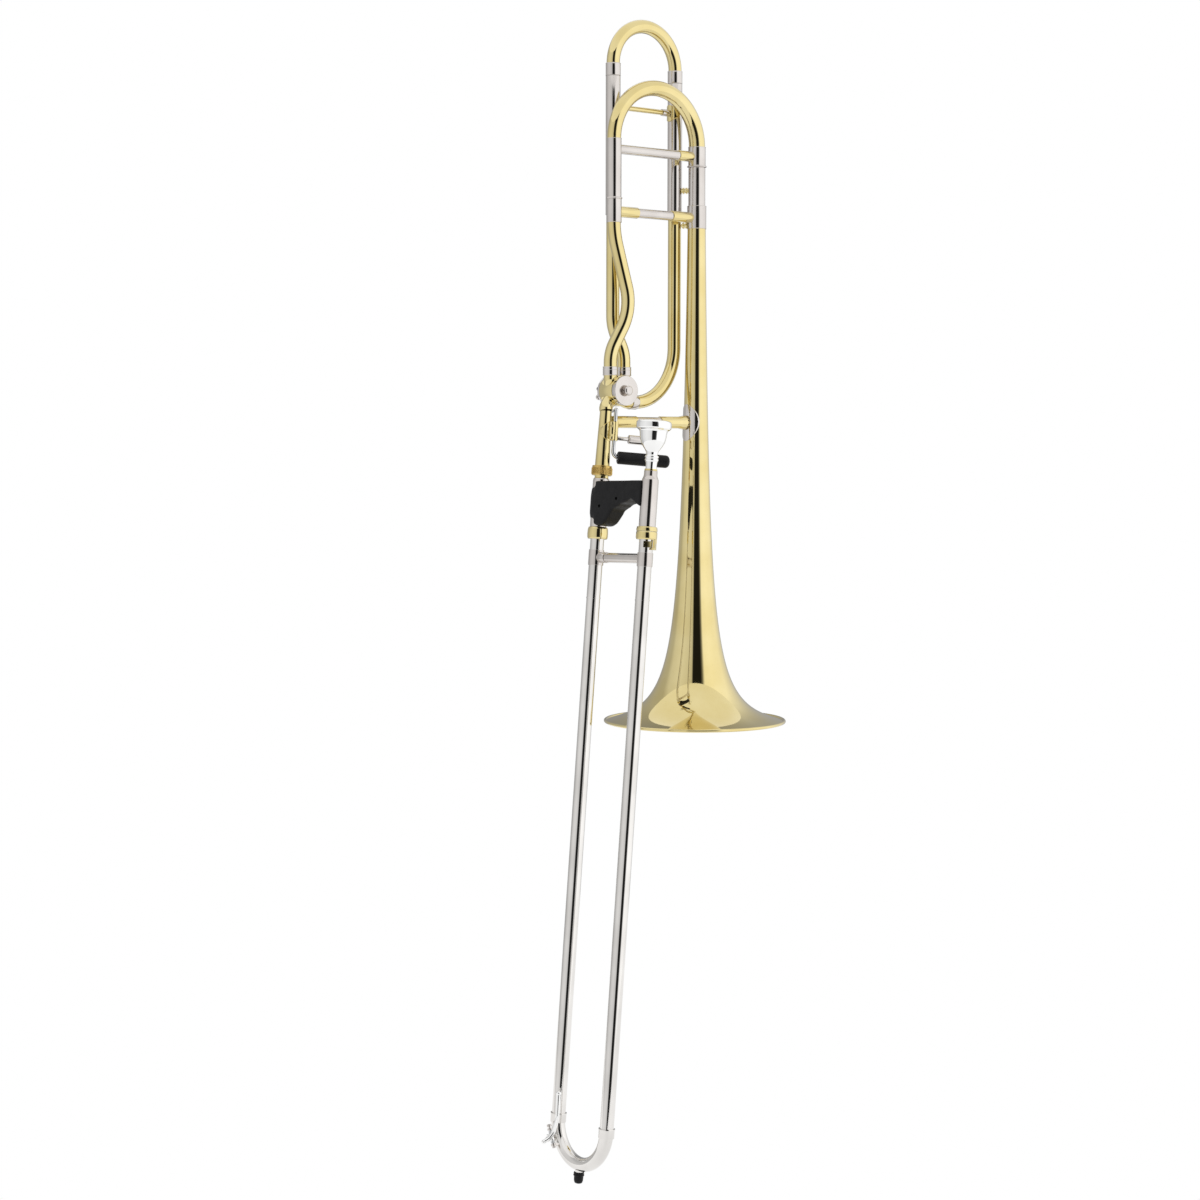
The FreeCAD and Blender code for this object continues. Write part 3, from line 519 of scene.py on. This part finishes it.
def coilTree():
    tree, start = newTree("coil", coilSizes)
    spiral = tree.nodes.new("GeometryNodeCurveSpiral")
    section = tree.nodes.new("GeometryNodeCurvePrimitiveCircle")
    sweepNode = tree.nodes.new("GeometryNodeCurveToMesh")
    sweepNode.inputs["Fill Caps"].default_value = True
    tree.links.new(start.outputs["Steps"], spiral.inputs["Resolution"])
    tree.links.new(start.outputs["Turns"], spiral.inputs["Rotations"])
    tree.links.new(start.outputs["Coil Radius"], spiral.inputs["Start Radius"])
    tree.links.new(start.outputs["Coil Radius"], spiral.inputs["End Radius"])
    tree.links.new(start.outputs["Length"], spiral.inputs["Height"])
    tree.links.new(start.outputs["Wire"], section.inputs["Radius"])
    tree.links.new(start.outputs["Section"], section.inputs["Resolution"])
    tree.links.new(spiral.outputs[0], sweepNode.inputs["Curve"])
    tree.links.new(section.outputs[0], sweepNode.inputs["Profile Curve"])
    closeTree(tree, start, sweepNode.outputs[0])
    return tree


def buildSpring():
    pivot = joints["water_key_press"]
    turn = Vector((0, 0, 1)).rotation_difference(Vector(pivot["axis"])).to_matrix().to_4x4()
    tree = coilTree()
    coils = []
    for begin in coilStarts:
        coil = runTree("coil", tree, coilSizes, "polished_steel")
        coil.transform(Matrix.Translation(pivot["pos_m"]) @ turn @ Matrix.Translation((0, 0, begin)))
        coils.append(coil)
    addPiece("water_key_coils", joinMeshes("coils", coils), partBodies["water_key_spring"],
             "polished_steel", replaces=["water_key_spring"])


# outlines of the turned pieces as radius and height in millimetres; their corners are rounded
cupOutline = [(12.9, 50.1), (14.2, 51.0), (16.4, 51.2), (18.8, 50.6), (20.0, 48.8), (20.0, 44.5),
              (19.6, 42.6), (18.2, 41.4), (16.6, 40.6), (15.6, 39.2), (15.2, 36.5), (14.9, 33.0),
              (14.0, 28.5), (12.0, 24.0), (9.2, 20.0), (7.2, 17.0), (6.4, 14.2), (6.4, 12.6),
              (7.5, 12.0), (7.9, 10.8), (7.5, 9.6), (6.8, 9.0), (7.7, 8.2), (7.7, 6.6), (6.8, 5.6),
              (6.3, 3.0), (6.2, -2.8), (5.6, -32.0)]
cupBore = [(4.9, -32.0), (3.4, 14.0), (3.4, 22.0), (5.6, 26.0), (8.6, 30.0), (11.2, 36.0), (12.5, 46.0)]
knobOutline = [(0, 3.1), (3.9, 3.1), (3.95, 5.3), (3.0, 5.5), (3.0, 6.2), (3.9, 6.3), (3.9, 7.0),
               (2.9, 7.1), (2.9, 7.6), (3.9, 7.7), (4.0, 8.1), (5.3, 8.2), (5.7, 9.0), (5.6, 9.9),
               (4.8, 11.0), (3.0, 11.7), (0, 11.9)]
turnedLook = {"cupSegments": 128, "knobSegments": 64, "smoothUpTo": 48}
valveAxis = Vector(joints["rotor_turn"]["pos_m"])
# the cap's knob points along -y from the middle of the valve
valveFront = Matrix.Translation((valveAxis.x, 0, valveAxis.z)) @ Matrix.Rotation(math.pi / 2, 4, "X")


def buildTurned():
    smooth = turnedLook["smoothUpTo"]
    cup = lathe("cup", smoothOutline(cupOutline) + smoothOutline(cupBore), secondTube,
                turnedLook["cupSegments"])
    addPiece("mouthpiece_turned", cup, "mouthpiece", "silver_plate", replaces=["mouthpiece"], limit=smooth)
    knob = lathe("knob", smoothOutline(knobOutline), valveFront, turnedLook["knobSegments"], closed=False)
    addPiece("cap_knob_turned", knob, "bell_section", "nickel_silver",
             replaces=["valve_cap_knob"], limit=smooth)


# machined pieces whose edges are broken by a small bevel
softEdge = {"width": 0.22 * mm, "segments": 2, "angle": 34}
softened = ["main_fixed_tubes", "main_moving_legs", "main_right_ferrule", "f_outer_sleeves",
            "f_moving_legs", "valve_ferrules", "valve_casing", "valve_cap", "cork_barrels",
            "barrel_rings", "slide_collar", "outer_slide_rings", "hand_brace_sleeves",
            "fixed_brace_sockets", "upper_brace_socket", "bell_saddle", "slide_lock_ring",
            "slide_lock_lug", "trigger_bracket", "f_brace_sockets", "thumb_rest"]


def copyPart(name):
    part = frame["nodes"][name]
    mesh = part.data.copy()
    mesh.transform(part.matrix_world)
    work = bmesh.new()
    work.from_mesh(mesh)
    bmesh.ops.remove_doubles(work, verts=work.verts, dist=seam)
    work.to_mesh(mesh)
    work.free()
    mesh.name = name + "Soft"
    return mesh


def buildSoftened():
    for name in softened:
        piece = addObject(name + "Work", copyPart(name))
        bevel = piece.modifiers.new("bevel", "BEVEL")
        bevel.width = softEdge["width"]
        bevel.segments = softEdge["segments"]
        bevel.limit_method = "ANGLE"
        bevel.angle_limit = math.radians(softEdge["angle"])
        mesh = bake(piece).data
        bpy.data.objects.remove(piece)
        addPiece(name + "_soft", mesh, partBodies[name], partSlots[name], partFinish(name), replaces=[name])


# side shape of the hand grip: millimetres from the left barrel's axis, then along the slide
gripShape = {"under": [(86.0, -46.0), (79.5, -43.5), (74.0, -40.0), (68.0, -36.5), (62.0, -38.5),
                       (55.0, -41.5), (49.5, -42.0), (45.0, -45.0), (38.5, -47.5), (35.0, -49.5),
                       (30.0, -56.0), (24.0, -62.5), (17.0, -66.8), (9.0, -67.5), (3.0, -65.0)],
             "top": [(2.0, -16.0), (86.0, -16.0)], "half": 11.0,
             "wrap": [(0, -64.0), (6.5, -63.0), (9.6, -59.0), (10.9, -53.0), (10.9, -32.0),
                      (10.2, -25.0), (8.0, -19.5), (0, -18.0)]}
gripRelax = {"voxel": 0.8 * mm, "factor": 0.5, "passes": 44, "smoothUpTo": 50}
# screw holes: their places in the side shape, and how far from the grip's middle they start and end
gripHoles = {"places": [(13.0, -45.0), (43.0, -36.5)], "radius": 1.9, "reach": (8.93, 13.0)}


def gripBlock():
    outline = smoothOutline(gripShape["under"]) + gripShape["top"]
    count = len(outline)
    points = []
    for side in (-1, 1):
        points += [(side * gripShape["half"] * mm, -across * mm, along * mm) for across, along in outline]
    faces = [tuple(range(count)), tuple(range(count, 2 * count))]
    for step in range(count):
        after = (step + 1) % count
        faces.append((step, after, count + after, count + step))
    return meshFrom("gripBlock", points, faces, toSlide)


def gripDrills():
    radius = gripHoles["radius"]
    near, far = gripHoles["reach"]
    outline = [(0, near), (radius, near), (radius, far), (0, far)]
    drills = []
    for across, along in gripHoles["places"]:
        for side in (-1, 1):
            place = toSlide @ Matrix.Translation((0, -across * mm, along * mm))
            place = place @ Matrix.Rotation(side * math.pi / 2, 4, "Y")
            drills.append(lathe("drill", outline, place, 32, closed=False))
    return addObject("drills", joinMeshes("drills", drills))


def buildGrip():
    wrap = lathe("gripWrap", gripShape["wrap"], toSlide, 48, closed=False)
    piece = addObject("gripWork", joinMeshes("grip", [gripBlock(), wrap]))
    voxels = piece.modifiers.new("voxels", "REMESH")
    voxels.mode = "VOXEL"
    voxels.voxel_size = gripRelax["voxel"]
    relax = piece.modifiers.new("relax", "SMOOTH")
    relax.factor = gripRelax["factor"]
    relax.iterations = gripRelax["passes"]
    bake(piece)
    drill = gripDrills()
    holes = piece.modifiers.new("holes", "BOOLEAN")
    holes.operation = "DIFFERENCE"
    holes.object = drill
    mesh = bake(piece).data
    bpy.data.objects.remove(piece)
    bpy.data.objects.remove(drill)
    addPiece("hand_grip_moulded", mesh, "inner_slide", "black_rubber",
             replaces=["hand_grip"], limit=gripRelax["smoothUpTo"])


# beads and edge wires round the slides' sleeves and ferrules, in millimetres:
# each row is the tube's x and y, then height, radius and wire thickness
leftLeg = (-124, 0)
rightLeg = (0, 0)
upperPorts = [(-121.8, 9), (-97.2, 15)]
slideLegs = [(-108.8, 21), (-16.2, 21)]
beads = {"main_tuning_slide": [(*leftLeg, 606.1, 8.6, 0.95), (*rightLeg, 650.9, 10.5, 0.95),
                               (*leftLeg, 673.2, 8.3, 0.35), (*rightLeg, 673.2, 10.1, 0.35)],
         "bell_section": [(*leftLeg, 579.0, 8.5, 0.35), (*rightLeg, 579.0, 11.05, 0.35),
                          (*rightLeg, 605.0, 11.05, 0.35)],
         "f_tuning_slide": []}
for port in upperPorts:
    beads["bell_section"] += [(*port, height, 8.5, wire) for height, wire in
                              [(406.0, 0.35), (412.0, 0.30), (415.2, 0.35)]]
for leg in slideLegs:
    beads["f_tuning_slide"] += [(*leg, height, 8.5, 0.30) for height in (748.0, 761.7)]
    beads["bell_section"] += [(*leg, 590.3, 8.4, 0.30)]
beadWire = {"Around": 72, "Section": 12}


def buildBeads():
    tree = wireTree()
    for body, rows in beads.items():
        rings = []
        for x, y, height, radius, wire in rows:
            sizes = {"Radius": radius * mm, "Thickness": wire * mm, **beadWire}
            ring = runTree("bead", tree, sizes, "nickel_silver")
            ring.transform(Matrix.Translation((x * mm, y * mm, height * mm)))
            rings.append(ring)
        addPiece(body + "_beads", joinMeshes("beads", rings), body, "nickel_silver")


# water key's touch, a bar that hooks round outside the pivot, with a ball at each end;
# its corners are in the slide's frame, in millimetres
hookPath = {"corners": [(-12.2, -13.0, -713), (-12.0, -13.4, -741), (-13.6, -10.4, -757.5),
                        (-18.0, -8.6, -764.5), (-24.0, -6.6, -768.5)],
            "bends": [30, 9, 7], "radius": 2.35, "bore": 0.04, "ball": 1.08}


def buildHook():
    corners = [toSlide @ (Vector(corner) * mm) for corner in hookPath["corners"]]
    path = roundedPath(corners, [bend * mm for bend in hookPath["bends"]])
    radius = hookPath["radius"] * mm
    wall = radius * (1 - hookPath["bore"])
    meshes = [sweep("hookBar", path, [radius] * len(path), 24, wall)]
    for end in (path[0], path[-1]):
        work = bmesh.new()
        bmesh.ops.create_uvsphere(work, u_segments=24, v_segments=14, radius=radius * hookPath["ball"],
                                  matrix=Matrix.Translation(end))
        ball = bpy.data.meshes.new("hookEnd")
        work.to_mesh(ball)
        work.free()
        meshes.append(ball)
    addPiece("water_key_hook", joinMeshes("hook", meshes), "water_key", "nickel_silver", "silver_plate")


buildNut()
buildSpring()
buildTurned()
print("turned and wound pieces done")
buildSoftened()
buildGrip()
buildBeads()
buildHook()
print("softened pieces done")


cameraSpot = {"azimuth": -38.325, "elevation": 3.657, "roll": 0.082, "distance": 2632.28 * mm,
              "target": (-143.56 * mm, 0, 148.74 * mm), "lens": 68.96, "sensor": 36, "farthest": 100}


def buildCamera():
    azimuth = math.radians(cameraSpot["azimuth"])
    elevation = math.radians(cameraSpot["elevation"])
    back = Vector((math.sin(azimuth) * math.cos(elevation), -math.cos(azimuth) * math.cos(elevation),
                   math.sin(elevation)))
    right = Vector((math.cos(azimuth), math.sin(azimuth), 0))
    up = back.cross(right)
    roll = Quaternion(back, math.radians(cameraSpot["roll"]))
    turned = Matrix((roll @ right, roll @ up, back)).transposed().to_4x4()
    data = bpy.data.cameras.new("camera")
    data.lens = cameraSpot["lens"]
    data.sensor_width = cameraSpot["sensor"]
    data.clip_end = cameraSpot["farthest"]
    camera = bpy.data.objects.new("camera", data)
    spot = Vector(cameraSpot["target"]) + back * cameraSpot["distance"]
    camera.matrix_world = Matrix.Translation(spot) @ turned
    bpy.context.scene.collection.objects.link(camera)
    bpy.context.scene.camera = camera
    return back


# brightness round the studio, by degrees to the right of the camera
studioRing = [(-180, 0.28), (-164, 0.40), (-140, 0.52), (-112, 0.56), (-96, 0.76), (-60, 0.88), (-30, 0.80),
              (-14, 0.66), (-10, 0.015), (20, 0.015), (26, 0.20), (34, 1.20), (60, 1.26), (110, 1.18),
              (140, 0.86), (164, 0.50), (180, 0.28)]
# brightness by height, from straight down to straight up
studioRise = [(-90, 0.50), (-62, 0.74), (-40, 1.0), (-20, 1.0), (60, 1.0), (90, 0.85)]
# the world's own light overhead, by degrees above level
ceiling = {"starts": 70, "full": 78, "light": 0.95}
# a lit floor and ceiling that end about as far out as the camera
glowDiscs = {"floor_glow": {"radius": 2.4, "light": 0.95, "height": -750 * mm},
             "ceiling_glow": {"radius": 2.4, "light": 0.98, "height": 2050 * mm}}


def rampNode(tree, factor, stops, low, high):
    ramp = tree.nodes.new("ShaderNodeValToRGB")
    elements = ramp.color_ramp.elements
    for index, (place, value) in enumerate(stops):
        position = (place - low) / (high - low)
        element = elements[index] if index < 2 else elements.new(position)
        element.position = position
        element.color = (value, value, value, 1)
    tree.links.new(factor, ramp.inputs["Fac"])
    return ramp.outputs["Color"]


def stepBetween(tree, value, edge):
    past = maths(tree, "SUBTRACT", value, edge["starts"])
    slope = maths(tree, "DIVIDE", past, edge["full"] - edge["starts"])
    return maths(tree, "MINIMUM", maths(tree, "MAXIMUM", slope, 0), 1)


def buildStudio(back):
    # white to the camera; to the metal, a ring of bright and dark walls round the camera's bearing
    world = bpy.data.worlds.new("studio")
    bpy.context.scene.world = world
    world.use_nodes = True
    tree = world.node_tree
    tree.nodes.clear()
    place = tree.nodes.new("ShaderNodeTexCoord")
    split = tree.nodes.new("ShaderNodeSeparateXYZ")
    tree.links.new(place.outputs["Generated"], split.inputs[0])
    x, y, z = split.outputs
    flat = Vector((back.x, back.y)).normalized()
    ahead = maths(tree, "ADD", maths(tree, "MULTIPLY", x, flat.x), maths(tree, "MULTIPLY", y, flat.y))
    aside = maths(tree, "ADD", maths(tree, "MULTIPLY", x, -flat.y), maths(tree, "MULTIPLY", y, flat.x))
    bearing = maths(tree, "DIVIDE", maths(tree, "ARCTAN2", aside, ahead), math.tau)
    ringLight = rampNode(tree, maths(tree, "ADD", bearing, 0.5), studioRing, -180, 180)
    rise = maths(tree, "ADD", maths(tree, "DIVIDE", maths(tree, "ARCSINE", z), math.pi), 0.5)
    riseLight = rampNode(tree, rise, studioRise, -90, 90)
    degrees = maths(tree, "MULTIPLY", maths(tree, "SUBTRACT", rise, 0.5), 180)
    overhead = stepBetween(tree, degrees, ceiling)
    walls = maths(tree, "MULTIPLY", ringLight, maths(tree, "SUBTRACT", 1, overhead))
    room = maths(tree, "ADD", walls, maths(tree, "MULTIPLY", overhead, ceiling["light"]))
    light = maths(tree, "MULTIPLY", room, riseLight)
    seen = tree.nodes.new("ShaderNodeLightPath").outputs["Is Camera Ray"]
    shown = maths(tree, "ADD", maths(tree, "MULTIPLY", light, maths(tree, "SUBTRACT", 1, seen)), seen)
    background = tree.nodes.new("ShaderNodeBackground")
    background.inputs["Color"].default_value = (1, 1, 1, 1)
    output = tree.nodes.new("ShaderNodeOutputWorld")
    tree.links.new(shown, background.inputs["Strength"])
    tree.links.new(background.outputs[0], output.inputs["Surface"])


def disc(name, radius, height):
    mesh = bpy.data.meshes.new(name)
    work = bmesh.new()
    bmesh.ops.create_circle(work, cap_ends=True, radius=radius, segments=96)
    work.to_mesh(mesh)
    work.free()
    mesh.transform(Matrix.Translation((0, 0, height)))
    return addObject(name, mesh)


def buildGlow():
    # only what mirrors sees these: they cast no shadow and light no rough surface
    for name, size in glowDiscs.items():
        glow = disc(name, size["radius"], size["height"])
        material, tree, shader = newMaterial(name)
        shader.inputs["Base Color"].default_value = (0, 0, 0, 1)
        shader.inputs["Emission Color"].default_value = (1, 1, 1, 1)
        shader.inputs["Emission Strength"].default_value = size["light"]
        glow.data.materials.append(material)
        glow.visible_camera = False
        glow.visible_diffuse = False
        glow.visible_shadow = False


back = buildCamera()
buildStudio(back)
buildGlow()
bpy.context.scene.view_settings.view_transform = "Standard"
print("studio done")

# every part that keeps its own shape gets its finish here
for name, part in frame["nodes"].items():
    part.data.materials.clear()
    part.data.materials.append(finishes[partFinish(name)])
